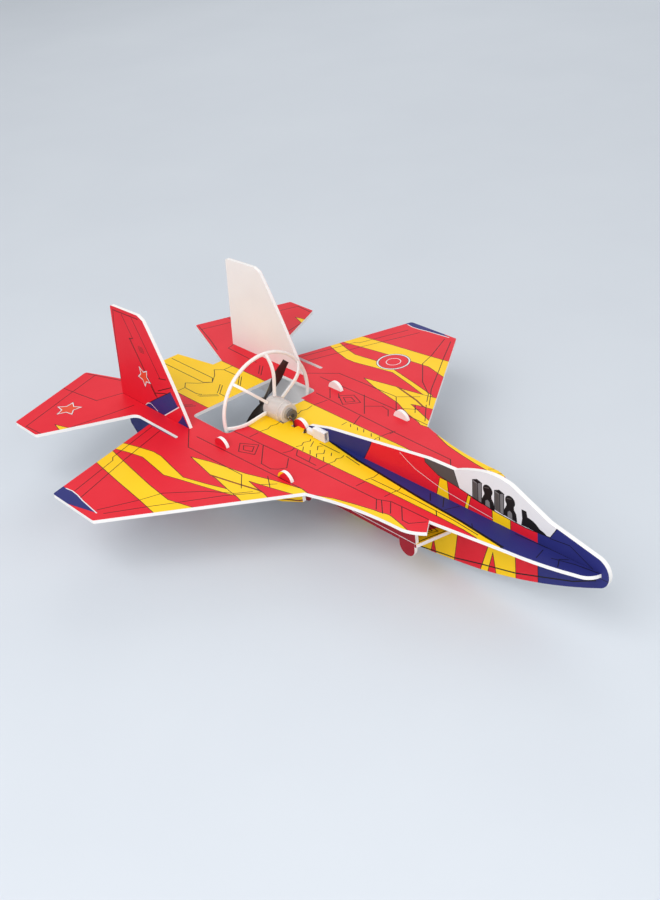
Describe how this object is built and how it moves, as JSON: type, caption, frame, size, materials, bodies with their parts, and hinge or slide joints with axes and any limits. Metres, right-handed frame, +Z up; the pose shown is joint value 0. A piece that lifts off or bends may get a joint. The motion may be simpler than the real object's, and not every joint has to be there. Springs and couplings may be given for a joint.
{
  "type": "foam hand-launched toy jet",
  "caption": "Slotted foam-sheet twin-fin jet glider with a ring-guarded electric pusher propeller set in a slot behind the dorsal.",
  "frame": {"origin": "under the middle of the bounding box, level with the flat foot of the keel", "axes": "+X to the nose along the motor axis, +Y to port, +Z up, square to the main plate"},
  "size_m": [0.4654, 0.33, 0.127],
  "materials": {
    "printed_foam": "matte printed film on white foam",
    "guard_plastic": "translucent milky moulding",
    "motor_steel": "satin",
    "motor_cap_plastic": "matte",
    "shaft_steel": "bright",
    "propeller_plastic": "satin black",
    "milky_nylon": "translucent",
    "pin_brass": "bright",
    "red_insulation": "satin",
    "black_insulation": "satin",
    "cell_foil": "satin foil",
    "foam_tape": "matte",
    "board_laminate": "solder mask"
  },
  "bodies": {
    "airframe": {"main_plate": "printed_foam", "keel_plate": "printed_foam", "side_plate_port": "printed_foam", "side_plate_starboard": "printed_foam", "belly_plate": "printed_foam", "intake_wall_port": "printed_foam", "intake_wall_starboard": "printed_foam", "prop_guard": "guard_plastic", "motor_can": "motor_steel", "motor_cap": "motor_cap_plastic", "charge_socket": "milky_nylon", "lead_boot": "milky_nylon", "charge_pin_upper": "pin_brass", "charge_pin_lower": "pin_brass", "motor_lead_red": "red_insulation", "motor_lead_black": "black_insulation", "charge_lead_red": "red_insulation", "charge_lead_black": "black_insulation", "battery_cell": "cell_foil", "battery_tape": "foam_tape", "control_board": "board_laminate"},
    "rotor": {"motor_shaft": "shaft_steel", "propeller": "propeller_plastic"}
  },
  "joints": [
    {"name": "propeller_spin", "type": "hinge", "parent": "airframe", "child": "rotor", "pos_m": [-0.073, 0, 0.0572], "axis": [1, 0, 0], "continuous": true}
  ]
}
